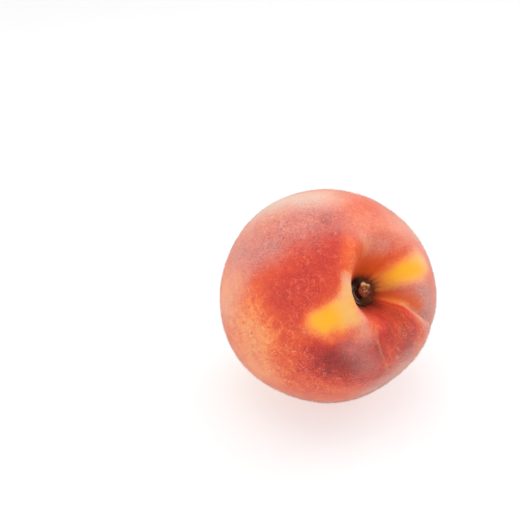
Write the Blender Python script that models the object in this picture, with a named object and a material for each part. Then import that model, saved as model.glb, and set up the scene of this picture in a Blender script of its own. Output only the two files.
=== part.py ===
"""A ripe peach lying on its cheek, with the woody stub of its stalk down in the stem hollow.

Both pieces are modelled upright, in the fruit's own frame: +Z runs up the core towards the stalk, and the
suture, the crease from stalk to tip, lies on the +X side. An empty then lays the fruit on its resting spot.
"""

import math

import bmesh
import bpy
import numpy as np
from mathutils import Matrix, Vector

MM = 0.001

# Driving dimensions of the fruit, measured from the middle of its core
CHEEK_HALF = 36.8 * MM  # half the width across the two cheeks
SUTURE_HALF = 38.1 * MM  # half the depth from suture to back
TOP_HALF = 38.5 * MM  # to the unbroken dome over the stem hollow
TIP_HALF = 37.0 * MM  # to the tip end

# How the fruit lies: its core's rise over the surface and heading round +Z, and its roll about the core
CORE_RISE = math.radians(33.0)
CORE_HEADING = math.radians(-58.0)
SUTURE_ROLL = math.radians(49.0)  # of the suture, from the core's underside
REST_SINK = 0.65 * MM  # how far the ripe flesh has given where the fruit rests

# Below, angles round the core are from the suture, and plain numbers are radians from the stalk where nothing
# else is said. The stem hollow is a wide bowl and, in it, an oval pit off centre with one steep wall.
RIM_AT = 0.42
BOWL_DEPTH = 4.0 * MM
BOWL_SPREAD = 0.50
PIT_DEPTH = 15.0 * MM
PIT_HALF_WIDTH = 0.32  # these are sines of the angle from the stalk
PIT_HALF_LENGTH = 0.35
PIT_SHIFT = (0.015, 0.05)  # away from its steep wall, and along its length
PIT_ALONG = math.radians(112.0)  # where the pit's length heads round the core
PIT_FLOOR = 0.22  # where the pit's floor ends
STEEP_SIDE = math.radians(-143.0)  # where the wall is steepest, from the pit's width towards its length
WALL_GENTLE, WALL_STEEP = 3.2, 9.0  # powers: the higher, the steeper
WALL_MEAN = 0.32  # where the wall is on average

# The suture, a crease along a soft valley, whose lower lobe stands up in a lip beside the hollow
CREASE_DEPTH = 2.4 * MM
CREASE_WIDTHS = (1.2 * MM, 2.6 * MM)  # towards the lower lobe and the upper one
VALLEY_DEPTH = 1.9 * MM
VALLEY_WIDTH = 9.0 * MM
LIP_HEIGHT = 0.9 * MM
LIP_OFFSET = -3.6 * MM
LIP_WIDTH = 2.6 * MM
SUTURE_AT_HOLLOW = (1.0, 0.28)  # the share of its depth that it has there, and how far that lasts
SUTURE_AT_TIP = (0.5, 0.70)
SUTURE_BETWEEN = 0.18
SUTURE_HALF_ANGLE = 1.2  # round the core, beyond which nothing of it is left
SUTURE_NARROWS = 0.5  # sine of the angle from the tip inside which its width narrows to nothing
TIP_CALM = 0.24  # how far round the tip the suture fades out

# A soft fold that runs out over the hollow's rim
FOLD_AT = math.radians(117.0)
FOLD_DEPTH = 1.2 * MM
FOLD_SPREAD = 0.45  # round the core
FOLD_REACH = 0.24

# Broad swells and flats of the cheeks: angle from the stalk, angle from the suture, height and spread
SWELLS = [
    (math.radians(22), math.radians(165), 1.8 * MM, 0.2),
    (math.radians(62), math.radians(37), -0.9 * MM, 0.4),
    (math.radians(95), math.radians(133), 0.8 * MM, 0.6),
    (math.radians(76), math.radians(-25), -2.3 * MM, 0.5),
    (math.radians(116), math.radians(-120), 1.3 * MM, 0.55),
]

# The tip end: a shallow dish with a blunt point in it
DISH_DEPTH = 1.4 * MM
DISH_SPREAD = 0.36
POINT_HEIGHT = 1.7 * MM
POINT_SPREAD = 0.075

# The stalk's stub: a corky collar that lines the pit's floor, a neck and a knobbed broken end. Its outline is
# the radius and the height over the pit's floor, from the middle of its root to the middle of its end.
CLEARANCE = 0.45 * MM
STUB_OUTLINE = [
    (0.0, 0.0), (4.3 * MM, 0.0), (4.6 * MM, 0.45 * MM), (3.0 * MM, 0.8 * MM), (2.3 * MM, 1.5 * MM),
    (2.15 * MM, 2.5 * MM), (2.45 * MM, 3.5 * MM), (2.5 * MM, 4.2 * MM), (1.8 * MM, 4.6 * MM), (0.0, 4.1 * MM),
]
STUB_STATIONS = [0.0, 0.30, 0.36, 0.46, 0.56, 0.66, 0.76, 0.84, 0.91, 1.0]  # shares of the way to its end
BARK_RIDGES = [(5, 1.0, 0.05), (9, 0.0, 0.03)]  # how many round the stub, turned by, and share of its radius
STUB_LEAN = 0.9 * MM  # how far its end is off the core, and to which side
STUB_LEANS_TO = math.radians(-175.0)

FRUIT_SEGMENTS, FRUIT_RINGS = 72, 54
STUB_SEGMENTS, STUB_RINGS = 36, 24

# Where the fruit's rings and segments crowd together: at what angle, how much closer and how widely
RING_CROWDS = [(WALL_MEAN, 3.2, 0.14), (0, 1.0, 0.15), (math.pi, 1.0, 0.2)]
SEGMENT_CROWDS = [(0, 2.2, 0.22), (math.pi, 0.5, 0.9)]
RINGS_FOLLOW_PIT = 0.85  # how far from the stalk the rings still bend with the pit's edge


def bell(x, spread, power=2.0):
    """1 at x = 0, falling smoothly to 0 past the spread."""
    return np.exp(-np.abs(x / spread) ** power)


def turned(angle, start):
    """The angle from start, wrapped to lie between -pi and pi."""
    return (angle - start + np.pi) % (2 * np.pi) - np.pi


def hollow_depth(polar, around):
    """The stem hollow: the bowl, the oval pit and the soft fold over the rim."""
    out = np.sin(np.minimum(polar, np.pi / 2))
    across = out * np.sin(PIT_ALONG - around) - PIT_SHIFT[0]
    along = out * np.cos(PIT_ALONG - around) - PIT_SHIFT[1]
    from_middle = np.hypot(across / PIT_HALF_WIDTH, along / PIT_HALF_LENGTH)
    steep_side = (1 + np.cos(np.arctan2(along, across) - STEEP_SIDE)) / 2
    wall = WALL_GENTLE + (WALL_STEEP - WALL_GENTLE) * steep_side
    fold = FOLD_DEPTH * bell(turned(around, FOLD_AT), FOLD_SPREAD) * bell(polar - RIM_AT, FOLD_REACH)
    return BOWL_DEPTH * bell(polar, BOWL_SPREAD) + PIT_DEPTH * bell(from_middle, 1, wall) + fold


def suture_depth(polar, around):
    """The suture's crease, valley and lip, which fade out in the pit and round the point of the tip."""
    from_tip = np.pi - polar
    narrowing = np.where(polar > np.pi / 2, SUTURE_NARROWS, 0)
    beside = CHEEK_HALF * np.maximum(np.sin(polar), narrowing) * turned(around, 0)
    by_hollow = SUTURE_AT_HOLLOW[0] * bell(polar - RIM_AT, SUTURE_AT_HOLLOW[1], 3)
    along = SUTURE_BETWEEN + by_hollow + SUTURE_AT_TIP[0] * bell(from_tip, SUTURE_AT_TIP[1])
    crease_width = np.where(beside < 0, *CREASE_WIDTHS)
    depth = along * (
        CREASE_DEPTH * bell(beside, crease_width, 1.5) + VALLEY_DEPTH * bell(beside, VALLEY_WIDTH)
    )
    depth -= LIP_HEIGHT * by_hollow * bell(beside - LIP_OFFSET, LIP_WIDTH)
    ends = (1 - bell(from_tip, TIP_CALM)) * (1 - bell(polar, PIT_FLOOR))
    return depth * ends * bell(turned(around, 0), SUTURE_HALF_ANGLE, 4)


def swell_height(polar, around):
    """The broad swells and flats that keep the cheeks from being evenly round."""
    height = 0
    for at_polar, at_around, rise, spread in SWELLS:
        across = np.sin(polar) * math.sin(at_polar) * np.cos(around - at_around)
        apart = np.arccos((across + np.cos(polar) * math.cos(at_polar)).clip(-1, 1))
        height = height + rise * bell(apart, spread)
    return height


def skin_radius(polar, around):
    """How far the skin is from the core's middle, by the angles from the stalk and from the suture."""
    up = np.cos(polar)
    out = np.sin(polar)
    half_height = np.where(up > 0, TOP_HALF, TIP_HALF)
    body = 1 / np.sqrt(
        (out * np.cos(around) / SUTURE_HALF) ** 2
        + (out * np.sin(around) / CHEEK_HALF) ** 2
        + (up / half_height) ** 2
    )
    from_tip = np.pi - polar
    tip = POINT_HEIGHT * bell(from_tip, POINT_SPREAD) - DISH_DEPTH * bell(from_tip, DISH_SPREAD)
    dents = hollow_depth(polar, around) + suture_depth(polar, around)
    return body + tip + swell_height(polar, around) - dents


def globe(segments, rings):
    """A UV sphere's mesh, with each vertex's angle from the +Z pole and its angle round from +X."""
    shape = bmesh.new()
    bmesh.ops.create_uvsphere(shape, u_segments=segments, v_segments=rings, radius=1)
    way = np.array([v.co for v in shape.verts])
    return shape, np.arccos(way[:, 2].clip(-1, 1)), np.arctan2(way[:, 1], way[:, 0])


def place(shape, out, around, up):
    """Moves the globe's vertices to their distance out from the core, angle around it and height along it."""
    for vertex, point in zip(shape.verts, np.stack([out * np.cos(around), out * np.sin(around), up], 1)):
        vertex.co = point


def crowded(share, crowds, low, high):
    """Turns even shares, 0 to 1, into angles from low to high that lie closer together at the crowds."""
    angles = np.linspace(low, high, 2000)
    density = 1 + sum(closer * bell(turned(angles, at), spread) for at, closer, spread in crowds)
    passed = np.cumsum(density)
    return np.interp(share, (passed - passed[0]) / (passed[-1] - passed[0]), angles)


def pit_edge(around):
    """How far from the stalk the pit's oval edge is, by the angle round the core."""
    across = np.sin(PIT_ALONG - around) / PIT_HALF_WIDTH
    along = np.cos(PIT_ALONG - around) / PIT_HALF_LENGTH
    shift = np.array(PIT_SHIFT) / (PIT_HALF_WIDTH, PIT_HALF_LENGTH)
    size = across**2 + along**2
    lean = across * shift[0] + along * shift[1]
    return np.arcsin((lean + np.sqrt(lean**2 + size * (1 - shift @ shift))) / size)


def fruit_shape():
    """The fruit's closed skin: a globe whose rings bend with the pit's edge and crowd at its wall."""
    shape, polar, around = globe(FRUIT_SEGMENTS, FRUIT_RINGS)
    polar = crowded(polar / np.pi, RING_CROWDS, 0, np.pi)
    around = crowded((around + np.pi) / (2 * np.pi), SEGMENT_CROWDS, -np.pi, np.pi)
    polar = polar * (1 + (pit_edge(around) / WALL_MEAN - 1) * bell(polar, RINGS_FOLLOW_PIT, 4))
    radius = skin_radius(polar, around)
    place(shape, radius * np.sin(polar), around, radius * np.cos(polar))
    return shape


def pit_floor(out, around):
    """The height of the pit's floor along the core, at a distance out from the core."""
    polar = np.linspace(0, 1.5 * WALL_MEAN, 60)
    floor = []
    for distance, angle in zip(out, around):
        radius = skin_radius(polar, np.full_like(polar, angle))
        floor.append(np.interp(distance, radius * np.sin(polar), radius * np.cos(polar)))
    return np.array(floor)


def stub_shape():
    """The stalk's stub: a globe whose underside lines the pit's floor and whose upper side is the stalk."""
    shape, polar, around = globe(STUB_SEGMENTS, STUB_RINGS)
    rise = 1 - polar / np.pi
    radii, heights = zip(*STUB_OUTLINE)
    out = np.interp(rise, STUB_STATIONS, radii)
    collar_edge, neck, knob = STUB_STATIONS[2], STUB_STATIONS[4], STUB_STATIONS[8]
    barky = np.interp(rise, [collar_edge, neck, knob, 1], [0, 1, 1, 0])
    for count, turn, share in BARK_RIDGES:
        out = out * (1 + barky * share * np.cos(count * around + turn))
    middle = pit_floor([0], [0])
    lining = np.interp(rise, [collar_edge, neck], [1, 0])
    up = np.interp(rise, STUB_STATIONS, heights) + CLEARANCE
    up = up + middle + lining * (pit_floor(out, around) - middle)
    place(shape, out, around, up)
    lean = STUB_LEAN * np.interp(rise, [collar_edge, knob], [0, 1]) ** 1.5
    for vertex, aside in zip(shape.verts, lean):
        vertex.co.x += aside * math.cos(STUB_LEANS_TO)
        vertex.co.y += aside * math.sin(STUB_LEANS_TO)
    return shape


def finished(name, shape, material):
    """An object made from the shape, shaded smooth, wearing the material."""
    mesh = bpy.data.meshes.new(name)
    shape.to_mesh(mesh)
    shape.free()
    mesh.shade_smooth()
    mesh.materials.append(material)
    return bpy.data.objects.new(name, mesh)


def surface(name, colour, roughness):
    """A material with one colour and roughness."""
    material = bpy.data.materials.new(name)
    material.use_nodes = True
    shader = material.node_tree.nodes["Principled BSDF"]
    shader.inputs["Base Color"].default_value = (*colour, 1)
    shader.inputs["Roughness"].default_value = roughness
    return material


def lying_rotation():
    """Turns the upright fruit to how it lies: rolled about its core, then the core tipped and headed."""
    roll = Matrix.Rotation(SUTURE_ROLL, 3, "Z")
    tip_over = Matrix.Rotation(math.pi / 2 - CORE_RISE, 3, "Y")
    head = Matrix.Rotation(CORE_HEADING, 3, "Z")
    return head @ tip_over @ roll


def flatten_rest(shape, down):
    """Cuts the small flat to rest on, square to down, and returns how far it is from the core's middle."""
    lowest = max(v.co.dot(down) for v in shape.verts)
    depth = lowest - REST_SINK
    cut = bmesh.ops.bisect_plane(
        shape, geom=shape.verts[:] + shape.edges[:] + shape.faces[:],
        plane_co=down * depth, plane_no=down, clear_outer=True,
    )
    rim = [e for e in cut["geom_cut"] if isinstance(e, bmesh.types.BMEdge)]
    bmesh.ops.contextual_create(shape, geom=rim)
    return depth


def main():
    for old in list(bpy.data.objects):
        bpy.data.objects.remove(old)
    collection = bpy.data.collections.new("peach")
    bpy.context.scene.collection.children.link(collection)

    lying = lying_rotation()
    shape = fruit_shape()
    depth = flatten_rest(shape, lying.transposed() @ Vector((0, 0, -1)))
    corners = [lying @ v.co for v in shape.verts]
    middle = [(min(c[i] for c in corners) + max(c[i] for c in corners)) / 2 for i in range(2)]

    core = bpy.data.objects.new("core", None)
    core.rotation_euler = lying.to_euler()
    core.location = (-middle[0], -middle[1], depth)
    collection.objects.link(core)
    pieces = [
        finished("fruit", shape, surface("skin", (0.78, 0.25, 0.12), 0.6)),
        finished("stem_stub", stub_shape(), surface("bark", (0.16, 0.08, 0.04), 0.8)),
    ]
    for piece in pieces:
        collection.objects.link(piece)
        piece.parent = core


main()
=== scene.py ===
"""The looks of a ripe peach: its velvety skin with blush and down, and the woody stub in its stem hollow.

The pieces are shaped upright, in the fruit's own frame, and then laid down: +Z runs up the core towards the
stalk, and the suture, the crease from stalk to tip, lies on the +X side. A point of the skin is named by
two angles: polar, from the stalk, and around, round the core from the suture.
"""

import math

import bmesh
import bpy
import numpy as np
from mathutils import Matrix, Vector

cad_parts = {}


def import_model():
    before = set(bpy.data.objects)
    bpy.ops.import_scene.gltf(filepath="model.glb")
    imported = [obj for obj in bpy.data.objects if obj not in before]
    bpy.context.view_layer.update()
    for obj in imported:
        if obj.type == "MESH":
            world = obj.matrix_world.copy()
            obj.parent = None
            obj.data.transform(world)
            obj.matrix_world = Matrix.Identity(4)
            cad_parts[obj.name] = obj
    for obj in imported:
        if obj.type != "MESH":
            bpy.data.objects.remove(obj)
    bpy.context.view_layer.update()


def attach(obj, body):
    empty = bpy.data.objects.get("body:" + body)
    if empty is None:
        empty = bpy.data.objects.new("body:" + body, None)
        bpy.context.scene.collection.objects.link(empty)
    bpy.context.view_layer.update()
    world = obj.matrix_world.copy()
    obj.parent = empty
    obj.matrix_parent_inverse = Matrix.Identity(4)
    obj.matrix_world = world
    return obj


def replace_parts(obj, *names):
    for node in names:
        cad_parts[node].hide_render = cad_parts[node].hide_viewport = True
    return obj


MM = 0.001

# The fruit's shape, with the CAD model's names and values: first its half sizes from the middle of its core
CHEEK_HALF = 36.8 * MM  # across the two cheeks
SUTURE_HALF = 38.1 * MM  # from suture to back
TOP_HALF = 38.5 * MM  # to the unbroken dome over the stem hollow
TIP_HALF = 37.0 * MM

# How the fruit lies: its core's rise and heading, its roll about the core, and where the core's middle is
CORE_RISE = math.radians(33.0)
CORE_HEADING = math.radians(-58.0)
SUTURE_ROLL = math.radians(49.0)
CORE_AT = np.array([0.492, 0.171, 36.503]) * MM

# The stem hollow: a wide bowl and, in it, an oval pit off centre with one steep wall. Here and below, plain
# numbers are radians from the stalk where nothing else is said.
RIM_AT = 0.42
BOWL_DEPTH = 4.0 * MM
BOWL_SPREAD = 0.50
PIT_DEPTH = 15.0 * MM
PIT_HALF_WIDTH = 0.32  # these are sines of the angle from the stalk
PIT_HALF_LENGTH = 0.35
PIT_SHIFT = (0.015, 0.05)  # away from its steep wall, and along its length
PIT_ALONG = math.radians(112.0)  # where the pit's length heads round the core
PIT_FLOOR = 0.22  # where the pit's floor ends
STEEP_SIDE = math.radians(-143.0)  # where the wall is steepest, from the pit's width towards its length
WALL_GENTLE, WALL_STEEP = 3.2, 9.0  # powers: the higher, the steeper
WALL_MEAN = 0.32  # where the wall is on average

# The suture, a crease along a soft valley, whose lower lobe stands up in a lip beside the hollow
CREASE_DEPTH = 2.4 * MM
CREASE_WIDTHS = (1.2 * MM, 2.6 * MM)  # towards the lower lobe and the upper one
VALLEY_DEPTH = 1.9 * MM
VALLEY_WIDTH = 9.0 * MM
LIP_HEIGHT = 0.9 * MM
LIP_OFFSET = -3.6 * MM
LIP_WIDTH = 2.6 * MM
SUTURE_AT_HOLLOW = (1.0, 0.28)  # the share of its depth that it has there, and how far that lasts
SUTURE_AT_TIP = (0.5, 0.70)
SUTURE_BETWEEN = 0.18
SUTURE_HALF_ANGLE = 1.2  # round the core, beyond which nothing of it is left
SUTURE_NARROWS = 0.5  # sine of the angle from the tip inside which its width narrows to nothing
TIP_CALM = 0.24  # how far round the tip the suture fades out

# A soft fold that runs out over the hollow's rim
FOLD_AT = math.radians(117.0)
FOLD_DEPTH = 1.2 * MM
FOLD_SPREAD = 0.45  # round the core
FOLD_REACH = 0.24

# Broad swells and flats of the cheeks: angle from the stalk, angle from the suture, height and spread
SWELLS = [
    (math.radians(22), math.radians(165), 1.8 * MM, 0.2),
    (math.radians(62), math.radians(37), -0.9 * MM, 0.4),
    (math.radians(95), math.radians(133), 0.8 * MM, 0.6),
    (math.radians(76), math.radians(-25), -2.3 * MM, 0.5),
    (math.radians(116), math.radians(-120), 1.3 * MM, 0.55),
]

# The tip end: a shallow dish with a blunt point in it
DISH_DEPTH = 1.4 * MM
DISH_SPREAD = 0.36
POINT_HEIGHT = 1.7 * MM
POINT_SPREAD = 0.075

# The stalk's stub: a corky collar that lines the pit's floor, a neck and a knobbed broken end. Its outline
# is the radius and the height over the pit's floor, from the middle of its root to the middle of its end.
CLEARANCE = 0.45 * MM
STUB_OUTLINE = [
    (0.0, 0.0), (4.3 * MM, 0.0), (4.6 * MM, 0.45 * MM), (3.0 * MM, 0.8 * MM),
    (2.3 * MM, 1.5 * MM), (2.15 * MM, 2.5 * MM), (2.45 * MM, 3.5 * MM), (2.5 * MM, 4.2 * MM),
    (1.8 * MM, 4.6 * MM), (0.0, 4.1 * MM),
]
STUB_STATIONS = [0.0, 0.30, 0.36, 0.46, 0.56, 0.66, 0.76, 0.84, 0.91, 1.0]  # shares of the way to its end
BARK_RIDGES = [(5, 1.0, 0.05), (9, 0.0, 0.03)]  # how many round it, turned by, and share of its radius
STUB_LEAN = 0.9 * MM  # how far its end is off the core, and to which side
STUB_LEANS_TO = math.radians(-175.0)
LEAN_POWER = 1.5

# The meshes, and where their rings and segments crowd together: at what angle, how much closer, how widely
SKIN_SEGMENTS, SKIN_RINGS = 400, 220
STUB_SEGMENTS, STUB_RINGS = 180, 120
RING_CROWDS = [(WALL_MEAN, 2.2, 0.16), (0, 1.0, 0.15), (math.pi, 0.6, 0.2)]
SEGMENT_CROWDS = [(0, 1.6, 0.22), (math.pi, 0.3, 0.9)]
RINGS_FOLLOW_PIT = 0.85  # how far from the stalk the rings still bend with the pit's edge

# The skin's fine unevenness: how wide its bumps are, how high they are and their seed
UNEVENNESS = [(17 * MM, 0.10 * MM, 11), (6 * MM, 0.025 * MM, 12), (2.2 * MM, 0.008 * MM, 13)]
WAVES_MIXED = 24
WAVE_LENGTHS = (1.6, 2.6)  # the shortest and longest wave, in widths of a bump
REST_ROUNDING = 0.3 * MM  # how softly the skin turns into the flat that it rests on

# Fine puckers that run out of the pit: how many round it, and turned by
PUCKERS = [(17, 0.4), (29, 1.9), (43, 0.7)]
PUCKER_DEPTH = 0.16 * MM
PUCKERS_AT, PUCKERS_SPREAD = 0.30, 0.13
PUCKER_WAVER = (1.25, 5 * MM, 21)  # by how much they wander, how widely, and its seed

# The stub's roughness, in the broken end and in the bark
END_ROUGHNESS = (0.18 * MM, 1.2 * MM, 41)  # height, width and seed
END_BREAKS_OVER = 0.1  # the share of the way to the end in which it sets in
BARK_ROUGHNESS = (0.05, 1.6 * MM, 42)  # share of the radius, width and seed
ROUGH_LENGTH = 3 * MM  # what the stub's length counts for in both

# The down: fine hairs in several pieces, of random length and lean
DOWN_PIECES = 4
DOWN_SEED = 100
HAIRS_IN_PIECE = 42000
HAIR_LENGTH = (0.35 * MM, 0.85 * MM)
HAIR_WIDTH = 0.024 * MM
DOWN_THICKENS = (1.15, 1.8)  # from none to all, in distances of the pit's edge from the stalk
HAIRS_SHORTER = (0.6, 0.5)  # round the hollow, by which share and how far from the stalk
LEAN_DOWN = 0.2  # towards the tip, as a share of a hair's rise
LEAN_BY_PLACE, LEAN_BY_CHANCE = 0.35, 0.3
LEAN_SIZE = 3 * MM  # about how wide a tuft is that leans one way
LEAN_SEEDS = (31, 32)
FLOOR_GAPS = (0.5 * MM, 0.1 * MM)  # how far over the floor every hair's root and tip are
SLOPE_STEP = 0.002  # the small turn over which the skin's slope is read

# The velvety shine of the skin and of its hollow, where the down is too short to shine. The hollow ends at
# this share of how far the pit's edge is from the stalk.
SHEEN, HOLLOW_SHEEN = 0.7, 0.08
HOLLOW_EDGE = 1.28
SHEEN_ROUGHNESS, SKIN_ROUGHNESS = 0.42, 0.62
GRAIN_DEPTH = 0.15 * MM

# The floor, in metres: half its width, and the radius inside which it is flat
FLOOR_HALF, FLOOR_FLAT = 4.0, 1.2
FLOOR_CELLS = 80
FLOOR_GLOW = 0.54

# The lights: name, place in metres, width in metres and power in watts
WORLD_STRENGTH = 0.66
LIGHTS = [
    ("key", (-0.05, 0.05, 0.60), 0.55, 1.55),
    ("front", (-0.35, -0.48, 0.35), 0.45, 0.68),
    ("right", (0.45, 0.35, 0.30), 0.35, 1.1),
]

# The camera, by its distance and by where in the 520 pixel frame the fruit's middle is
CAMERA_RISE = math.radians(30)
CAMERA_DISTANCE = 0.290
SENSOR_WIDTH = 36
NEAREST_SEEN = 0.01
FRAME = 520
FOCAL_PIXELS = 818
MIDDLE_PIXEL = (327.3, 294.5)
MIDDLE = Vector((0, 0, 0.0375))


def bell(x, spread, power=2.0):
    """1 at x = 0, falling smoothly to 0 past the spread."""
    return np.exp(-np.abs(x / spread) ** power)


def turned(angle, start):
    """The angle from start, wrapped to lie between -pi and pi."""
    return (angle - start + np.pi) % (2 * np.pi) - np.pi


def hollow_depth(polar, around):
    """The stem hollow: the bowl, the oval pit and the soft fold over the rim."""
    out = np.sin(np.minimum(polar, np.pi / 2))
    across = out * np.sin(PIT_ALONG - around) - PIT_SHIFT[0]
    along = out * np.cos(PIT_ALONG - around) - PIT_SHIFT[1]
    from_middle = np.hypot(across / PIT_HALF_WIDTH, along / PIT_HALF_LENGTH)
    steep_side = (1 + np.cos(np.arctan2(along, across) - STEEP_SIDE)) / 2
    wall = WALL_GENTLE + (WALL_STEEP - WALL_GENTLE) * steep_side
    fold = FOLD_DEPTH * bell(turned(around, FOLD_AT), FOLD_SPREAD) * bell(polar - RIM_AT, FOLD_REACH)
    return BOWL_DEPTH * bell(polar, BOWL_SPREAD) + PIT_DEPTH * bell(from_middle, 1, wall) + fold


def suture_depth(polar, around):
    """The suture's crease, valley and lip, which fade out in the pit and round the point of the tip."""
    from_tip = np.pi - polar
    narrowing = np.where(polar > np.pi / 2, SUTURE_NARROWS, 0)
    beside = CHEEK_HALF * np.maximum(np.sin(polar), narrowing) * turned(around, 0)
    by_hollow = SUTURE_AT_HOLLOW[0] * bell(polar - RIM_AT, SUTURE_AT_HOLLOW[1], 3)
    along = SUTURE_BETWEEN + by_hollow + SUTURE_AT_TIP[0] * bell(from_tip, SUTURE_AT_TIP[1])
    crease_width = np.where(beside < 0, *CREASE_WIDTHS)
    depth = along * (
        CREASE_DEPTH * bell(beside, crease_width, 1.5) + VALLEY_DEPTH * bell(beside, VALLEY_WIDTH)
    )
    depth -= LIP_HEIGHT * by_hollow * bell(beside - LIP_OFFSET, LIP_WIDTH)
    ends = (1 - bell(from_tip, TIP_CALM)) * (1 - bell(polar, PIT_FLOOR))
    return depth * ends * bell(turned(around, 0), SUTURE_HALF_ANGLE, 4)


def swell_height(polar, around):
    """The broad swells and flats that keep the cheeks from being evenly round."""
    height = 0
    for at_polar, at_around, rise, spread in SWELLS:
        across = np.sin(polar) * math.sin(at_polar) * np.cos(around - at_around)
        apart = np.arccos((across + np.cos(polar) * math.cos(at_polar)).clip(-1, 1))
        height = height + rise * bell(apart, spread)
    return height


def skin_radius(polar, around):
    """How far the skin is from the core's middle, by the angles from the stalk and from the suture."""
    up = np.cos(polar)
    out = np.sin(polar)
    half_height = np.where(up > 0, TOP_HALF, TIP_HALF)
    body = 1 / np.sqrt(
        (out * np.cos(around) / SUTURE_HALF) ** 2
        + (out * np.sin(around) / CHEEK_HALF) ** 2
        + (up / half_height) ** 2
    )
    from_tip = np.pi - polar
    tip = POINT_HEIGHT * bell(from_tip, POINT_SPREAD) - DISH_DEPTH * bell(from_tip, DISH_SPREAD)
    dents = hollow_depth(polar, around) + suture_depth(polar, around)
    return body + tip + swell_height(polar, around) - dents


def crowded(share, crowds, low, high):
    """Turns even shares, 0 to 1, into angles from low to high that lie closer together at the crowds."""
    angles = np.linspace(low, high, 2000)
    density = 1 + sum(closer * bell(turned(angles, at), spread) for at, closer, spread in crowds)
    passed = np.cumsum(density)
    return np.interp(share, (passed - passed[0]) / (passed[-1] - passed[0]), angles)


def pit_edge(around):
    """How far from the stalk the pit's oval edge is, by the angle round the core."""
    across = np.sin(PIT_ALONG - around) / PIT_HALF_WIDTH
    along = np.cos(PIT_ALONG - around) / PIT_HALF_LENGTH
    shift = np.array(PIT_SHIFT) / (PIT_HALF_WIDTH, PIT_HALF_LENGTH)
    size = across**2 + along**2
    lean = across * shift[0] + along * shift[1]
    return np.arcsin((lean + np.sqrt(lean**2 + size * (1 - shift @ shift))) / size)


def lying_rotation():
    """Turns the upright fruit to how it lies: rolled about its core, then the core tipped and headed."""
    roll = Matrix.Rotation(SUTURE_ROLL, 3, "Z")
    tip_over = Matrix.Rotation(math.pi / 2 - CORE_RISE, 3, "Y")
    head = Matrix.Rotation(CORE_HEADING, 3, "Z")
    return head @ tip_over @ roll


def laid(points):
    """Moves points from the upright fruit's frame to where the fruit lies."""
    return points @ np.array(lying_rotation()).T + CORE_AT


def direction(polar, around):
    """Unit directions from the core's middle, in the upright fruit's frame."""
    out = np.sin(polar)
    return np.stack([out * np.cos(around), out * np.sin(around), np.cos(polar)], 1)


def unit(vectors):
    """The vectors, each brought to a length of 1."""
    return vectors / np.linalg.norm(vectors, axis=1)[:, None]


def waves(points, size, seed):
    """Smooth, evenly mixed unevenness of about -1 to 1, with bumps about as wide as the size."""
    chance = np.random.default_rng(seed)
    ways = unit(chance.normal(size=(WAVES_MIXED, 3)))
    turns = 2 * np.pi / (size * chance.uniform(*WAVE_LENGTHS, WAVES_MIXED))
    phases = chance.uniform(0, 2 * np.pi, WAVES_MIXED)
    return np.cos(points @ (ways * turns[:, None]).T + phases).sum(1) * math.sqrt(2 / WAVES_MIXED)


def skin_points(polar, around):
    """Where the skin is, with its fine unevenness and the flat that it rests on."""
    way = direction(polar, around)
    radius = skin_radius(polar, around)
    for size, height, seed in UNEVENNESS:
        radius = radius + height * waves(way * CHEEK_HALF, size, seed)
    waver, waver_size, waver_seed = PUCKER_WAVER
    wavering = waver * waves(way * CHEEK_HALF, waver_size, waver_seed)
    for count, turn in PUCKERS:
        ridge = np.cos(count * around + turn + wavering)
        radius = radius - PUCKER_DEPTH / len(PUCKERS) * ridge * bell(polar - PUCKERS_AT, PUCKERS_SPREAD)
    points = laid(way * radius[:, None])
    height = points[:, 2]
    points[:, 2] = (height + np.sqrt(height**2 + REST_ROUNDING**2)) / 2
    return points


def globe(segments, rings):
    """A UV sphere with a texture layout, and its vertices' angles from the +Z pole and round from +X."""
    shape = bmesh.new()
    shape.loops.layers.uv.new("OFBake")
    bmesh.ops.create_uvsphere(shape, u_segments=segments, v_segments=rings, radius=1, calc_uvs=True)
    way = np.array([v.co for v in shape.verts])
    return shape, np.arccos(way[:, 2].clip(-1, 1)), np.arctan2(way[:, 1], way[:, 0])


def dressed(name, mesh, material):
    """A piece made from the mesh, which rides with the fruit."""
    mesh.shade_smooth()
    mesh.materials.append(material)
    piece = bpy.data.objects.new(name, mesh)
    bpy.context.scene.collection.objects.link(piece)
    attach(piece, "root")
    return piece


def mesh_from(name, shape, points, ways):
    """A mesh of the shape with its vertices moved to the points, which remembers each one's direction."""
    for vertex, point in zip(shape.verts, points):
        vertex.co = point
    mesh = bpy.data.meshes.new(name)
    shape.to_mesh(mesh)
    shape.free()
    remember_ways(mesh, ways)
    return mesh


def remember_ways(mesh, ways):
    """Stores the directions in the upright fruit's frame, which the materials are painted by."""
    layer = mesh.attributes.new("way", "FLOAT_VECTOR", "POINT")
    layer.data.foreach_set("vector", np.asarray(ways, np.float32).ravel())


def make_skin(material, hollow_material):
    """The fruit's skin, with the hollow in a material of its own."""
    shape, polar, around = globe(SKIN_SEGMENTS, SKIN_RINGS)
    polar = crowded(polar / np.pi, RING_CROWDS, 0, np.pi)
    around = crowded((around + np.pi) / (2 * np.pi), SEGMENT_CROWDS, -np.pi, np.pi)
    polar = polar * (1 + (pit_edge(around) / WALL_MEAN - 1) * bell(polar, RINGS_FOLLOW_PIT, 4))
    mesh = mesh_from("peach_skin", shape, skin_points(polar, around), direction(polar, around))
    piece = dressed("peach_skin", mesh, material)
    mesh.materials.append(hollow_material)
    in_hollow = polar < HOLLOW_EDGE * pit_edge(around)
    for face in mesh.polygons:
        face.material_index = int(in_hollow[face.vertices[0]])
    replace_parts(piece, "fruit")


def pit_floor(out, around):
    """The height of the pit's floor along the core, at a distance out from the core."""
    polar = np.linspace(0, 1.5 * WALL_MEAN, 60)
    floor = []
    for distance, angle in zip(out, around):
        radius = skin_radius(polar, np.full_like(polar, angle))
        floor.append(np.interp(distance, radius * np.sin(polar), radius * np.cos(polar)))
    return np.array(floor)


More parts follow.
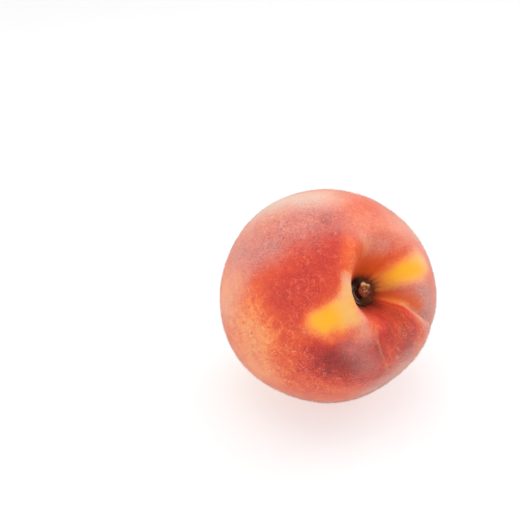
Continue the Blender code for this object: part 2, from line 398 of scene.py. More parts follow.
def make_stub(material):
    """The stalk's stub: the corky collar, the ridged neck and the knobbed end with its broken wood.

    Its "way" is the place across the stub, in millimetres, and the share of the way from root to end.
    """
    shape, polar, around = globe(STUB_SEGMENTS, STUB_RINGS)
    rise = 1 - polar / np.pi
    collar_edge, neck, knob = STUB_STATIONS[2], STUB_STATIONS[4], STUB_STATIONS[8]
    radii, heights = zip(*STUB_OUTLINE)

    barky = np.interp(rise, [collar_edge, neck, knob, 1], [0, 1, 1, 0])
    out = np.interp(rise, STUB_STATIONS, radii)
    for count, turn, share in BARK_RIDGES:
        out = out * (1 + barky * share * np.cos(count * around + turn))
    lining = np.interp(rise, [collar_edge, neck], [1, 0])
    low, middle = pit_floor(out, around), pit_floor([0], [0])
    up = np.interp(rise, STUB_STATIONS, heights) + CLEARANCE + middle + lining * (low - middle)

    x, y = out * np.cos(around), out * np.sin(around)
    place = np.stack([x, y, ROUGH_LENGTH * rise], 1)
    height, width, seed = END_ROUGHNESS
    broken = np.interp(rise, [knob - END_BREAKS_OVER, knob], [0, 1])
    up = up + height * broken * waves(place, width, seed)
    share, width, seed = BARK_ROUGHNESS
    rough = 1 + share * barky * waves(place, width, seed)
    x, y = x * rough, y * rough

    lean = STUB_LEAN * np.interp(rise, [collar_edge, knob], [0, 1]) ** LEAN_POWER
    points = np.stack([x + lean * math.cos(STUB_LEANS_TO), y + lean * math.sin(STUB_LEANS_TO), up], 1)
    mesh = mesh_from("peach_stem", shape, laid(points), np.stack([x / MM, y / MM, rise], 1))
    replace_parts(dressed("peach_stem", mesh, material), "stem_stub")


def hair_places(chance):
    """The two angles of every hair: all over the skin, but thinning out at the pit's edge."""
    polar = np.arccos(chance.uniform(-1, 1, HAIRS_IN_PIECE))
    around = chance.uniform(-np.pi, np.pi, HAIRS_IN_PIECE)
    thickness = np.interp(polar / pit_edge(around), DOWN_THICKENS, [0, 1])
    keep = chance.uniform(0, 1, HAIRS_IN_PIECE) < thickness
    return polar[keep], around[keep]


def skin_slope(polar, around):
    """Where the skin is, with the directions there towards the tip, round the core and outwards."""
    root = skin_points(polar, around)
    downward = unit(skin_points(polar + SLOPE_STEP, around) - root)
    sideways = unit(skin_points(polar, around + SLOPE_STEP) - root)
    return root, downward, sideways, unit(np.cross(downward, sideways))


def needles(name, root, tip, across, behind):
    """A mesh of closed three-sided needles, each of four vertices with its tip last."""
    corners = []
    for turn in (0, 2 * np.pi / 3, 4 * np.pi / 3):
        corners.append(root + HAIR_WIDTH / 2 * (math.cos(turn) * across + math.sin(turn) * behind))
    vertices = np.stack([*corners, tip], 1).reshape(-1, 3)
    first = 4 * np.arange(len(root))[:, None]
    sides = [first + np.array(side) for side in ((0, 2, 1), (0, 1, 3), (1, 2, 3), (2, 0, 3))]
    faces = np.stack(sides, 1).reshape(-1, 3)
    mesh = bpy.data.meshes.new(name)
    mesh.from_pydata(vertices.tolist(), [], faces.tolist())
    return mesh


def make_down(number, material):
    """One piece of the down: thousands of fine hairs that stand on the skin and are lit as it is."""
    chance = np.random.default_rng(DOWN_SEED + number)
    polar, around = hair_places(chance)
    way = direction(polar, around)
    root, downward, sideways, outward = skin_slope(polar, around)
    leans = []
    for seed in LEAN_SEEDS:
        by_place = LEAN_BY_PLACE * waves(way * CHEEK_HALF, LEAN_SIZE, seed)
        leans.append((by_place + chance.normal(0, LEAN_BY_CHANCE, len(polar)))[:, None])
    along = unit(outward + downward * (LEAN_DOWN + leans[0]) + sideways * leans[1])
    shorter, shorter_within = HAIRS_SHORTER
    length = chance.uniform(*HAIR_LENGTH, len(polar)) * (1 - shorter * bell(polar, shorter_within, 4))
    tip = root + along * length[:, None]

    root_gap, tip_gap = FLOOR_GAPS
    clear = (root[:, 2] > root_gap) & (tip[:, 2] > tip_gap)
    root, tip, outward, downward, along, way = (
        v[clear] for v in (root, tip, outward, downward, along, way)
    )
    # A hair that stands straight out needs the small second part to have a side
    across = unit(np.cross(along, outward + 0.01 * downward))
    mesh = needles(f"peach_down_{number}", root, tip, across, np.cross(along, across))
    remember_ways(mesh, np.repeat(way, 4, axis=0))
    piece = dressed(mesh.name, mesh, material)
    mesh.normals_split_custom_set_from_vertices(np.repeat(outward, 4, axis=0).tolist())
    piece.visible_shadow = False


def linear(value):
    """A share of full brightness on the screen as a share of the light, by the sRGB standard."""
    return value / 12.92 if value < 0.0404 else ((value + 0.055) / 1.055) ** 2.4


def colour(red, green, blue):
    """A linear colour with full alpha, from 0 to 255 values as a screen shows them."""
    return (*(linear(value / 255) for value in (red, green, blue)), 1)


class Tree:
    """Builds a node tree. Its methods add nodes and give their output; a value is a number or an output."""

    def __init__(self, tree):
        self.tree = tree

    def link(self, output, socket):
        self.tree.links.new(output, socket)

    def node(self, kind, values=(), output=0, **settings):
        """Adds one node, with what its sockets are given and what its settings are."""
        node = self.tree.nodes.new(kind)
        for name, setting in settings.items():
            setattr(node, name, setting)
        for key, value in dict(values).items():
            if isinstance(value, bpy.types.NodeSocket):
                self.link(value, node.inputs[key])
            else:
                node.inputs[key].default_value = value
        return node.outputs[output]

    def math(self, operation, *values):
        return self.node("ShaderNodeMath", dict(enumerate(values)), operation=operation)

    def vector(self, operation, *values):
        return self.node("ShaderNodeVectorMath", dict(enumerate(values)), operation=operation)

    def measure(self, operation, *values):
        """A vector operation that gives a number."""
        return self.node("ShaderNodeVectorMath", dict(enumerate(values)), "Value", operation=operation)

    def scaled(self, vector, factor):
        return self.node("ShaderNodeVectorMath", {0: vector, "Scale": factor}, operation="SCALE")

    def way(self):
        """What the mesh remembers for each of its points."""
        return self.node("ShaderNodeAttribute", output="Vector", attribute_name="way")

    def rise(self, way):
        """The part of the way that is along the core."""
        return self.node("ShaderNodeSeparateXYZ", {0: way}, "Z")

    def flat(self, way):
        """The part of the way that is across the core."""
        return self.vector("MULTIPLY", way, (1, 1, 0))

    def noise(self, at, scale, detail=2.0, output="Fac"):
        """A noise with so many bumps to a unit of the place, of which more detail makes finer ones."""
        values = {"Vector": at, "Scale": scale, "Detail": detail}
        return self.node("ShaderNodeTexNoise", values, output)

    def stir(self, at, scale, detail):
        """A noise about zero in all three directions, which moves a place when it is added."""
        noise = self.noise(at, scale, detail, "Color")
        return self.vector("SUBTRACT", noise, (0.5, 0.5, 0.5))

    def moved(self, place, stir, amount):
        return self.vector("ADD", place, self.scaled(stir, amount))

    def ease(self, value, low, high, to_low=0.0, to_high=1.0):
        """Goes smoothly from to_low, where the value is at low, to to_high, where it is at high."""
        values = {0: value, 1: low, 2: high, 3: to_low, 4: to_high}
        return self.node("ShaderNodeMapRange", values, interpolation_type="SMOOTHSTEP")

    def blend(self, factor, first, second):
        """A colour between the two. The node's colour sockets are 6 and 7, and 2 among its outputs."""
        values = {0: factor, 6: first, 7: second}
        return self.node("ShaderNodeMix", values, 2, data_type="RGBA")

    def between(self, factor, first, second):
        """A number between the two."""
        return self.node("ShaderNodeMix", {0: factor, 2: first, 3: second}, 0, data_type="FLOAT")

    def ramp(self, value, stops):
        """The colour for a value, from (value, colour) stops."""
        output = self.node("ShaderNodeValToRGB", {0: value})
        ramp = output.node.color_ramp
        while len(ramp.elements) < len(stops):
            ramp.elements.new(0.5)
        for element, (at, shade) in zip(ramp.elements, stops):
            element.position = at
            element.color = shade
        return output


def new_material(name, **values):
    """A material with a Principled shader, and the builder for its tree."""
    material = bpy.data.materials.new(name)
    material.use_nodes = True
    shader = material.node_tree.nodes["Principled BSDF"]
    for key, value in values.items():
        shader.inputs[key.replace("_", " ")].default_value = value
    return material, shader, Tree(material.node_tree)


def near_group():
    """A node group that gives 1 near the line between two directions, and fades to 0 past its reach."""
    group = bpy.data.node_groups.new("near", "ShaderNodeTree")
    for name in ("Way", "From", "To"):
        group.interface.new_socket(name=name, in_out="INPUT", socket_type="NodeSocketVector")
    for name in ("Reach", "Soft"):
        group.interface.new_socket(name=name, in_out="INPUT", socket_type="NodeSocketFloat")
    group.interface.new_socket(name="Near", in_out="OUTPUT", socket_type="NodeSocketFloat")
    tree = Tree(group)

    inputs = group.nodes.new("NodeGroupInput").outputs
    line = tree.vector("SUBTRACT", inputs["To"], inputs["From"])
    place = tree.vector("SUBTRACT", inputs["Way"], inputs["From"])
    # Where both directions are the same, the division by 0 gives 0, and the patch is round
    share = tree.math(
        "DIVIDE", tree.measure("DOT_PRODUCT", place, line), tree.measure("DOT_PRODUCT", line, line)
    )
    share = tree.node("ShaderNodeClamp", {0: share})
    nearest = tree.vector("ADD", inputs["From"], tree.scaled(line, share))
    apart = tree.measure("DISTANCE", inputs["Way"], nearest)
    low = tree.math("SUBTRACT", inputs["Reach"], inputs["Soft"])
    high = tree.math("ADD", inputs["Reach"], inputs["Soft"])
    near = tree.ease(apart, low, high, 1.0, 0.0)
    tree.link(near, group.nodes.new("NodeGroupOutput").inputs["Near"])
    return group


def aimed(polar, around):
    """The unit direction for two angles in degrees."""
    return direction(np.radians([polar]), np.radians([around]))[0].tolist()


def painted(tree, way, start, patches, group):
    """A level that starts even and is brought, patch by patch, to each patch's own level."""
    level = start
    for first, last, reach, soft, aim in patches:
        values = {"Way": way, "From": aimed(*first), "To": aimed(*last)}
        values |= {"Reach": math.radians(reach), "Soft": math.radians(soft)}
        near = tree.node("ShaderNodeGroup", values, node_tree=group)
        level = tree.between(near, level, aim)
    return level


# Patches of the skin: from and to, as angles in degrees from the stalk and round from the suture, then how
# far the patch reaches and how softly it ends, in degrees, and its level. The first table says how red the
# skin is, from the yellow ground at 0 to purple at 1, and a few of its patches paint light and shade.
BLUSH_START = 0.62
BLUSH_WITH_LIGHT_AND_SHADE = [
    ((123, -49), (135, -100), 24, 20, 0.26),
    ((176, 160), (158, 60), 20, 18, 0.34),
    ((108, 150), (135, 150), 18, 16, 0.74),
    ((97, 105), (119, 96), 14, 14, 0.50),
    ((80, 60), (95, 62), 14, 14, 0.60),
    ((58, 24), (78, 4), 14, 12, 0.82),
    ((116, -158), (127, -138), 14, 14, 0.52),
    ((64, 144), (85, 150), 20, 14, 0.42),
    ((79, 172), (56, 159), 12, 12, 0.64),
    ((74, -176), (58, 174), 8, 8, 0.80),
    ((58, 155), (55, 160), 7, 8, 0.72),
    ((44, 147), (40, 150), 10, 9, 0.82),
    ((85, -174), (85, -174), 9, 9, 0.80),
    ((35, 126), (35, 90), 9, 8, 0.54),
    ((37, 176), (50, -152), 12, 10, 0.78),
    ((86, -162), (92, -146), 10, 9, 0.48),
    ((95, -155), (100, -160), 8, 8, 0.38),
    ((78, -140), (89, -118), 14, 11, 0.40),
    ((71, -130), (71, -130), 6, 6, 0.32),
    ((60, -122), (58, -115), 7, 8, 0.60),
    ((55, -105), (50, -95), 8, 8, 0.78),
    ((70, -80), (71, -91), 9, 8, 0.64),
    ((51, -58), (60, -50), 10, 8, 0.78),
    ((46, -102), (44, -80), 9.5, 8, 0.95),
    ((31, -73), (42, -70), 7, 6, 0.84),
    ((19, -31), (38, -36), 9, 7, 0.85),
    ((29, 22), (41, 5), 7, 6, 0.78),
    ((36, -104), (33, -86), 3.5, 4, 0.84),
    # Painted highlight: paler where the rim below the pit catches the light
    ((20, -120), (25, -96), 4.5, 4, 0.50),
    ((24, 169), (28, 153), 4, 4, 0.54),
    ((22, -171), (22, -160), 3.5, 3.5, 0.36),
    ((23, 129), (20, 95), 7, 4, 0.60),
    ((26, 132), (26, 120), 2, 2, 0.46),
    ((28, 108), (30, 95), 3, 3, 0.62),
    ((37, -116), (33, -112), 3.5, 3.5, 0.50),
    ((39, -130), (27, -135), 6, 3.6, 0.14),
    ((24, -138), (22, -148), 4, 4, 0.16),
    ((29, -122), (25, -119), 4.5, 4, 0.12),
    ((37, -129), (25, -133), 4, 4, 0.06),
    ((22, -145), (21, -152), 3, 3, 0.14),
    ((18, 50), (31, 50), 7, 5, 0.12),
    ((24, 54), (31, 53), 4, 4, 0.08),
    ((14, 40), (15, 55), 3, 3, 0.35),
    ((19, -31), (24, -60), 3.5, 4, 0.90),
    # Painted shade in the suture's groove, then a painted highlight along the lip beside it
    ((19, 11), (30, 8), 3, 2.5, 0.62),
    ((30, 0), (39, -5), 1.2, 1.8, 0.56),
    ((18, 6), (35, -2), 1.8, 1.4, 0.34),
]
BLUSH_RAMP = [
    (0.00, colour(248, 184, 16)),
    (0.20, colour(246, 160, 60)),
    (0.38, colour(243, 131, 68)),
    (0.58, colour(224, 88, 50)),
    (0.78, colour(200, 59, 46)),
    (1.00, colour(132, 37, 38)),
]
# How pale the skin looks through its down, with highlights and sheen painted in as paleness
HAZE_AND_HIGHLIGHT_START = 0.0
HAZE_AND_HIGHLIGHT = [
    ((95, 150), (115, 110), 26, 22, 0.26),
    # Painted highlight on the top, where the light from above falls
    ((66, 143), (84, 149), 15, 15, 0.90),
    ((79, 172), (56, 159), 12, 12, 0.32),
    # Painted sheen where the skin turns away at the fruit's left edge as the camera sees it
    ((85, -174), (85, -174), 10, 10, 0.40),
    ((75, -174), (66, -180), 8, 8, 0.34),
    ((86, -162), (94, -150), 10, 8, 0.32),
    ((35, 126), (35, 90), 9, 8, 0.20),
    # Painted sheen along the fruit's right edge as the camera sees it
    ((45, 82), (58, 56), 10, 11, 0.34),
    ((29, 22), (41, 5), 8, 6, 0.44),
    ((51, -36), (62, -53), 10, 11, 0.48),
    # Painted highlights: the rim below the pit, then the crest of the fold over the hollow
    ((20, -118), (28, -88), 4, 4.5, 0.36),
    ((22, -149), (22, -166), 2.5, 3.5, 0.50),
    ((25, -140), (25, -118), 4.5, 4, 0.25),
    ((42, 147), (38, 140), 7, 6, 0.22),
    ((80, -135), (88, -118), 12, 9, 0.18),
    ((34, -94), (41, -73), 6, 7, 0.22),
    ((34, 60), (38, 50), 5, 4, 0.24),
    ((28, 131), (27, 98), 3, 3, 0.32),
]
HAZE_AND_HIGHLIGHT_COLOUR = colour(212, 194, 183)
# Where the down stands in curled strokes and where flecks of the yellow ground show
FUZZ_START = 0.3
FUZZ = [
    ((79, 172), (56, 159), 16, 12, 0.9),
    ((80, -140), (60, -100), 18, 12, 1.0),
    ((45, -80), (55, -60), 14, 8, 0.6),
    ((30, -34), (42, -20), 9, 6, 1.0),
    ((44, -106), (36, -78), 8, 7, 0.12),
    ((45, 174), (48, -152), 9, 7, 0.45),
    ((35, -126), (26, -140), 8, 4, 0.15),
    ((22, 50), (33, 57), 8, 4, 0.15),
]
# How far the ground colour is darkened beyond the stub's ring: painted shade by the suture's groove, and a
# thin dark line
STAIN_AND_SHADE = [
    ((15, 34), (19, 22), 4.5, 4, 0.28),
    ((20, 14), (26, 10), 1.5, 3, 0.14),
    ((30, -69), (46, -51), 0.5, 0.8, 0.28),
]
STAIN_AND_SHADE_COLOUR = colour(60, 20, 6)
# The darkening round the stub, partly stain and partly painted shade in the deep pit, sets in and is full
# at these cosines of the angle from the stalk. Its full level follows, and how far the rays shift its edge.
STUB_STAIN_AND_SHADE_FROM, STUB_STAIN_AND_SHADE_FULL, STUB_STAIN_AND_SHADE = 0.954, 0.984, 0.92
STUB_STAIN_AND_SHADE_WAVERS = 0.004
# Pale lines: a painted highlight along the lip's crest beside the hollow, and scuffs where something has
# brushed the skin
LIP_HIGHLIGHT_AND_SCUFFS = [
    ((23, 2), (35, -3.5), 1.1, 1.3, 0.46),
    ((22, -80), (28, -74), 0.6, 1.2, 0.20),
    ((27, -74), (34, -66), 0.4, 0.9, 0.36),
    ((35, -64), (46, -54), 0.4, 0.9, 0.30),
    ((29, -61), (35, -56), 0.4, 1.0, 0.18),
    ((38, -48), (39, -46), 0.7, 1.0, 0.40),
    ((45, -43), (47, -38), 0.5, 1.0, 0.45),
    ((32, -49), (35, -45), 0.3, 0.9, 0.25),
]
HIGHLIGHT_AND_SCUFF_COLOUR = colour(232, 176, 132)
# Painted light: where light would shine through the thin flesh of the hollow and bounce in it, it is
# painted deep orange
GLOW = [
    ((19, 140), (18, 85), 6, 7, 0.66),
    ((18, 13), (31, 6), 3, 4, 0.75),
    ((18, -20), (25, -40), 5, 5, 0.30),
]
GLOW_COLOUR = colour(220, 90, 4)
SHEEN_COLOUR = colour(255, 222, 204)
# The down's own colour, and its share beside the skin's, which shows through
DOWN_COLOUR = colour(255, 220, 196)
DOWN_SHARE = 0.22
FLOOR_COLOUR = colour(176, 176, 176)

# How much the marks on the skin shift its blush, and its haze
PALE_STROKES = (-0.22, 0.18)
DARK_STROKES = (0.12, -0.14)
FLECKS_SHIFT = -0.20
RAYS_SHIFT = 0.05
MOTTLE_SHIFT, GRAIN_SHIFT = 0.07, 0.05

# How far the patches' edges and the pale lines are stirred, in shares of the fruit's radius
BROADLY_STIRRED, FINELY_STIRRED, LINES_STIRRED = 0.10, 0.035, 0.05
STROKES_CURL = 0.10
RAYS_FADE = (0.90, 0.96)  # from none to all, by the cosine of the angle from the stalk

# How many bumps the noises have across the fruit's radius
BROAD_SCALE = 5.0
RAY_SCALE = 6.0
THICKER_SCALE = 8.0
CLUSTER_SCALE = 9.0
CURL_SCALE = 12.0
MOTTLE_SCALE = 14.0
FINE_SCALE = 40.0
FUZZ_SCALE = 62.0
STREAK_SCALE = 90.0
GRAIN_SCALE = 120.0
BUMP_SCALE = 150.0


def curled_strokes(tree, way):
    """Short curled strokes, pale and dark: noises drawn out along each axis and stirred by another."""
    curled = tree.moved(way, tree.stir(way, CURL_SCALE, 1.0), STROKES_CURL)
    pale, dark = 0.0, 0.0
    for drawn_out in ((1, 1, 0.15), (1, 0.15, 1), (0.15, 1, 1)):
        stroke = tree.noise(tree.vector("MULTIPLY", curled, drawn_out), FUZZ_SCALE, 0.5)
        pale = tree.math("MAXIMUM", tree.ease(stroke, 0.64, 0.74), pale)
        dark = tree.math("MAXIMUM", tree.ease(stroke, 0.35, 0.26), dark)
    thick = tree.ease(tree.noise(way, THICKER_SCALE), 0.35, 0.6, 0.3, 1.0)
    return tree.math("MULTIPLY", pale, thick), tree.math("MULTIPLY", dark, thick)


def flecks(tree, way):
    """Small scattered dots, thicker in some places than in others."""
    dots = tree.ease(tree.noise(way, FUZZ_SCALE, 1.5), 0.56, 0.70)
    return tree.math("MULTIPLY", dots, tree.ease(tree.noise(way, CLUSTER_SCALE), 0.42, 0.6))


def rays_round_stalk(tree, way):
    """Streaks of -1 to 1 that run out from the stalk and fade at the hollow's rim."""
    spoke = tree.vector("NORMALIZE", tree.flat(way))
    rays = tree.ease(tree.noise(spoke, RAY_SCALE, 3.0), 0.3, 0.7, -1.0, 1.0)
    return tree.math("MULTIPLY", rays, tree.ease(tree.rise(way), *RAYS_FADE))


def unevenly_red(tree, way, blush_light_and_shade, fuzz, rays, pale, dark):
    """The redness, painted light and shade included, with mottle, grain, rays, strokes and flecks, which
    clear yellow lacks.
    """
    mottle = tree.ease(tree.noise(way, MOTTLE_SCALE, 5.0), 0.3, 0.7, -MOTTLE_SHIFT, MOTTLE_SHIFT)
    mottle = tree.math("MULTIPLY", mottle, tree.ease(fuzz, 0.2, 0.9, 0.5, 1.0))
    grain = tree.ease(tree.noise(way, GRAIN_SCALE, 3.0), 0.3, 0.7, -GRAIN_SHIFT, GRAIN_SHIFT)
    uneven = tree.math("ADD", mottle, grain)
    dots = tree.math("MULTIPLY", flecks(tree, way), fuzz)
    marks = [(rays, RAYS_SHIFT), (dots, FLECKS_SHIFT), (pale, PALE_STROKES[0]), (dark, DARK_STROKES[0])]
    for mark, shift in marks:
        uneven = tree.math("MULTIPLY_ADD", mark, shift, uneven)
    return tree.math("MULTIPLY_ADD", uneven, tree.ease(blush_light_and_shade, 0.05, 0.35), blush_light_and_shade)


def streaked_haze_and_highlight(tree, way, haze_and_highlight, pale, dark):
    """The down's paleness with its painted highlights, in fine streaks, thicker along the pale strokes and
    thinner along the dark ones.
    """
    streaks = tree.ease(tree.noise(way, STREAK_SCALE, 4.0), 0.35, 0.7, 0.6, 1.3)
    haze_and_highlight = tree.math("MULTIPLY_ADD", pale, PALE_STROKES[1], tree.math("MULTIPLY", haze_and_highlight, streaks))
    return tree.math("MULTIPLY_ADD", dark, DARK_STROKES[1], haze_and_highlight)


def skin_light_and_colour_group():
    """A node group for yellow skin, reddened, mottled, streaked round the stalk and downy, with painted
    light and shade.
    """
    painting = bpy.data.node_groups.new("skin_light_and_colour", "ShaderNodeTree")
    painting.interface.new_socket(name="Colour", in_out="OUTPUT", socket_type="NodeSocketColor")
    tree = Tree(painting)
    near = near_group()
    way = tree.way()
    broad, fine = tree.stir(way, BROAD_SCALE, 3.0), tree.stir(way, FINE_SCALE, 3.0)
    stirred = tree.moved(tree.moved(way, broad, BROADLY_STIRRED), fine, FINELY_STIRRED)
    rays = rays_round_stalk(tree, way)
    fuzz = painted(tree, way, FUZZ_START, FUZZ, near)
    pale, dark = (tree.math("MULTIPLY", strokes, fuzz) for strokes in curled_strokes(tree, way))

    blush_light_and_shade = painted(tree, stirred, BLUSH_START, BLUSH_WITH_LIGHT_AND_SHADE, near)
    skin = tree.ramp(unevenly_red(tree, way, blush_light_and_shade, fuzz, rays, pale, dark), BLUSH_RAMP)
    # The down's haze, with highlights and sheen painted in as paleness
    haze_and_highlight = painted(tree, stirred, HAZE_AND_HIGHLIGHT_START, HAZE_AND_HIGHLIGHT, near)
    skin = tree.blend(streaked_haze_and_highlight(tree, way, haze_and_highlight, pale, dark), skin, HAZE_AND_HIGHLIGHT_COLOUR)
    # Painted light: the hollow's walls glow deep orange as if lit through
    skin = tree.blend(painted(tree, stirred, 0.0, GLOW, near), skin, GLOW_COLOUR)
    # Painted shade: darker in the deep pit round the stub and by the suture's groove, with some real stain
    stain_and_shade = painted(tree, stirred, 0.0, STAIN_AND_SHADE, near)
    wavering = tree.math("MULTIPLY_ADD", rays, STUB_STAIN_AND_SHADE_WAVERS, tree.rise(way))
    shade_and_stain_by_stub = tree.ease(wavering, STUB_STAIN_AND_SHADE_FROM, STUB_STAIN_AND_SHADE_FULL, 0.0, STUB_STAIN_AND_SHADE)
    skin = tree.blend(tree.math("MAXIMUM", stain_and_shade, shade_and_stain_by_stub), skin, STAIN_AND_SHADE_COLOUR)
    # Pale lines: a painted highlight on the lip's crest, and scuffs
    lip_highlight_and_scuffs = painted(tree, tree.moved(way, fine, LINES_STIRRED), 0.0, LIP_HIGHLIGHT_AND_SCUFFS, near)
    skin = tree.blend(lip_highlight_and_scuffs, skin, HIGHLIGHT_AND_SCUFF_COLOUR)
    tree.link(skin, painting.nodes.new("NodeGroupOutput").inputs["Colour"])
    return painting


def skin_material(name, painting, sheen):
    """The painted skin with a velvety sheen and a fine grain."""
    material, shader, tree = new_material(
        name, Roughness=SKIN_ROUGHNESS, Specular_IOR_Level=0.2, Sheen_Weight=sheen,
        Sheen_Roughness=SHEEN_ROUGHNESS, Sheen_Tint=SHEEN_COLOUR,
    )
    tree.link(tree.node("ShaderNodeGroup", node_tree=painting), shader.inputs["Base Color"])
    grain = tree.noise(tree.way(), BUMP_SCALE, 3.0)
    bump = tree.node("ShaderNodeBump", {"Strength": 0.25, "Distance": GRAIN_DEPTH, "Height": grain})
    tree.link(bump, shader.inputs["Normal"])
    return material


def toward(tree, way, angle):
    """1 on the side of the stub that faces the angle round from the suture, -1 on the other side."""
    aside = (math.cos(math.radians(angle)), math.sin(math.radians(angle)), 0)
    return tree.measure("DOT_PRODUCT", tree.vector("NORMALIZE", tree.flat(way)), aside)


# Colours of the stub: its corky collar, its bark and the wood of its broken end, with painted shade and
# highlight
CORK_SHADED, CORK_BROWN, CORK_BLACK = colour(30, 14, 10), colour(124, 62, 26), colour(24, 10, 7)
FIBRE_COLOUR = colour(176, 150, 132)
BARK_DARK, BARK_BROWN = colour(40, 16, 9), colour(128, 66, 36)
WOOD_DARK, WOOD_BROWN = colour(52, 20, 8), colour(146, 68, 28)
PITH_COLOUR, HIGHLIGHT_EDGE_COLOUR = colour(220, 142, 104), colour(244, 200, 130)
# To which side, in degrees round from the suture, the cork's fibres, its lit brown and the painted
# highlight lie
FIBRE_SIDE, LIT_CORK_SIDE, HIGHLIGHT_SIDE = -135, 20, 110
FIBRES_FROM = 60
# How many bumps the stub's noises have to a metre
BARK_GRAIN, BARK_PATCHES, PITH_GRAIN = 1500.0, 500.0, 1900.0
FIBRE_SCALE = 2.6
BARK_BUMP_DEPTH = 0.2 * MM


def collar_colour(tree, way, out, patchy):
    """Cork, brown on one side and painted dark as shade on the other, where grey fibres run round it."""
    rings = tree.node("ShaderNodeCombineXYZ", {0: out, 1: toward(tree, way, FIBRES_FROM)})
    fibres = tree.ease(tree.noise(rings, FIBRE_SCALE, 3.0), 0.44, 0.60)
    fibres = tree.math("MULTIPLY", fibres, tree.ease(toward(tree, way, FIBRE_SIDE), 0.35, 0.8))
    # Painted shade: the cork is dark on the side away from the light and brown on the lit side
    cork = tree.blend(tree.ease(toward(tree, way, LIT_CORK_SIDE), -0.6, 0.7), CORK_SHADED, CORK_BROWN)
    cork = tree.blend(tree.ease(patchy, 0.4, 0.65, 0.0, 0.5), cork, CORK_BLACK)
    return tree.blend(fibres, cork, FIBRE_COLOUR)


def wood_colour(tree, place, way, out, grain, patchy):
    """The broken end's brown wood, with flecks of pale pith in its middle and a painted highlight at one
    side's edge.
    """
    wood = tree.blend(tree.ease(patchy, 0.38, 0.62), WOOD_DARK, WOOD_BROWN)
    wood = tree.blend(tree.ease(grain, 0.52, 0.68, 0.0, 0.8), wood, BARK_DARK)
    pith = tree.ease(tree.noise(place, PITH_GRAIN), 0.50, 0.60)
    pith = tree.math("MULTIPLY", tree.ease(out, 0.5, 1.4, 1.0, 0.0), pith)
    wood = tree.blend(pith, wood, PITH_COLOUR)
    # Painted highlight: a golden edge on the side that faces the light
    edge = tree.ease(toward(tree, way, HIGHLIGHT_SIDE), 0.5, 0.95)
    edge = tree.math("MULTIPLY", tree.ease(out, 1.3, 2.0), edge)
    edge = tree.math("MULTIPLY", edge, tree.ease(grain, 0.62, 0.45, 0.5, 1.0))
    return tree.blend(edge, wood, HIGHLIGHT_EDGE_COLOUR)


def bark_material():
    """The stub's bark, which gives way to cork at its collar and to bare wood at its broken end."""
    material, shader, tree = new_material("peach_bark", Roughness=0.7, Specular_IOR_Level=0.35)
    place = tree.node("ShaderNodeTexCoord", output="Object")
    way = tree.way()
    rise = tree.rise(way)
    out = tree.measure("LENGTH", tree.flat(way))
    grain = tree.noise(place, BARK_GRAIN, 4.0)
    patchy = tree.noise(place, BARK_PATCHES, 3.0)
    bark = tree.blend(tree.ease(grain, 0.4, 0.7), BARK_DARK, BARK_BROWN)
    shade = tree.blend(tree.ease(rise, 0.46, 0.56), collar_colour(tree, way, out, patchy), bark)
    wood = wood_colour(tree, place, way, out, grain, patchy)
    shade = tree.blend(tree.ease(rise, 0.80, 0.88), shade, wood)
    tree.link(shade, shader.inputs["Base Color"])
    bump = tree.node("ShaderNodeBump", {"Strength": 0.6, "Distance": BARK_BUMP_DEPTH, "Height": grain})
    tree.link(bump, shader.inputs["Normal"])
    return material


def down_material(painting):
    """Fine pale hairs, through which the skin's painted colour, painted light and shade included, shows."""
    material, shader, tree = new_material("peach_down", Roughness=0.5, Specular_IOR_Level=0.3)
    skin = tree.node("ShaderNodeGroup", node_tree=painting)
    hair = tree.blend(DOWN_SHARE, skin, DOWN_COLOUR)
    tree.link(hair, shader.inputs["Base Color"])
    return material


def floor_material():
    """Matt and pale grey, with a little light of its own that keeps the shadows soft."""
    return new_material(
        "pale_floor", Roughness=0.9, Base_Color=FLOOR_COLOUR, Emission_Color=(1, 1, 1, 1),
        Emission_Strength=FLOOR_GLOW,
    )[0]


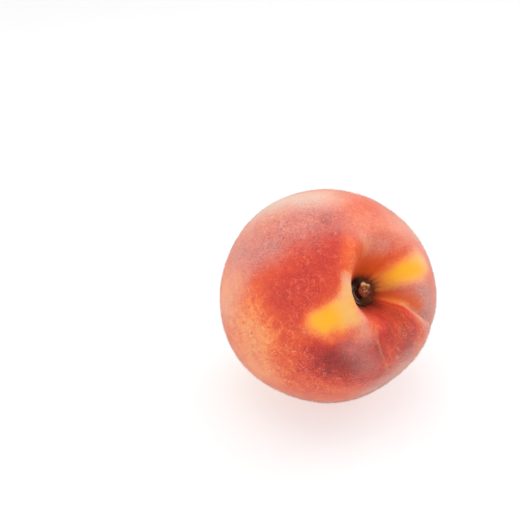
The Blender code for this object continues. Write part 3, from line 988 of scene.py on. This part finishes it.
def make_floor():
    """A plain pale floor that curves up all round, so that no view shows a horizon."""
    shape = bmesh.new()
    bmesh.ops.create_grid(shape, x_segments=FLOOR_CELLS, y_segments=FLOOR_CELLS, size=FLOOR_HALF)
    for vertex in shape.verts:
        beyond = max(vertex.co.length - FLOOR_FLAT, 0)
        vertex.co.z = beyond**2 / (2 * FLOOR_FLAT)
    mesh = bpy.data.meshes.new("floor")
    shape.to_mesh(mesh)
    shape.free()
    mesh.shade_smooth()
    mesh.materials.append(floor_material())
    floor = bpy.data.objects.new("floor", mesh)
    bpy.context.scene.collection.objects.link(floor)


def make_lights():
    """White surroundings, a wide soft light from above, and smaller ones at the front left and right."""
    scene = bpy.context.scene
    world = bpy.data.worlds.new("studio")
    world.use_nodes = True
    surroundings = world.node_tree.nodes["Background"].inputs
    surroundings["Color"].default_value = (1, 1, 1, 1)
    surroundings["Strength"].default_value = WORLD_STRENGTH
    scene.world = world
    for name, place, size, power in LIGHTS:
        light = bpy.data.lights.new(name, "AREA")
        light.size = size
        light.energy = power
        lamp = bpy.data.objects.new(name, light)
        lamp.location = place
        lamp.rotation_euler = (MIDDLE - Vector(place)).to_track_quat("-Z", "Y").to_euler()
        scene.collection.objects.link(lamp)
    scene.view_settings.view_transform = "Standard"


def make_camera():
    """A level camera at the photograph's angle, which sees the fruit at the right of its frame."""
    data = bpy.data.cameras.new("camera")
    data.sensor_width = SENSOR_WIDTH
    data.lens = SENSOR_WIDTH * FOCAL_PIXELS / FRAME
    data.clip_start = NEAREST_SEEN
    camera = bpy.data.objects.new("camera", data)
    bpy.context.scene.collection.objects.link(camera)
    bpy.context.scene.camera = camera
    right = Vector((1, 0, 0))
    up = Vector((0, math.sin(CAMERA_RISE), math.cos(CAMERA_RISE)))
    back = Vector((0, -math.cos(CAMERA_RISE), math.sin(CAMERA_RISE)))
    across = (MIDDLE_PIXEL[0] - FRAME / 2) / FOCAL_PIXELS
    above = (FRAME / 2 - MIDDLE_PIXEL[1]) / FOCAL_PIXELS
    sight = (right * across + up * above - back).normalized()
    turn = Matrix((right, up, back)).transposed().to_4x4()
    camera.matrix_world = Matrix.Translation(MIDDLE - sight * CAMERA_DISTANCE) @ turn


def main():
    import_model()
    make_camera()
    make_lights()
    make_floor()
    painting = skin_light_and_colour_group()
    skin = skin_material("peach_skin", painting, SHEEN)
    make_skin(skin, skin_material("peach_hollow", painting, HOLLOW_SHEEN))
    make_stub(bark_material())
    down = down_material(painting)
    for number in range(1, DOWN_PIECES + 1):
        make_down(number, down)


main()
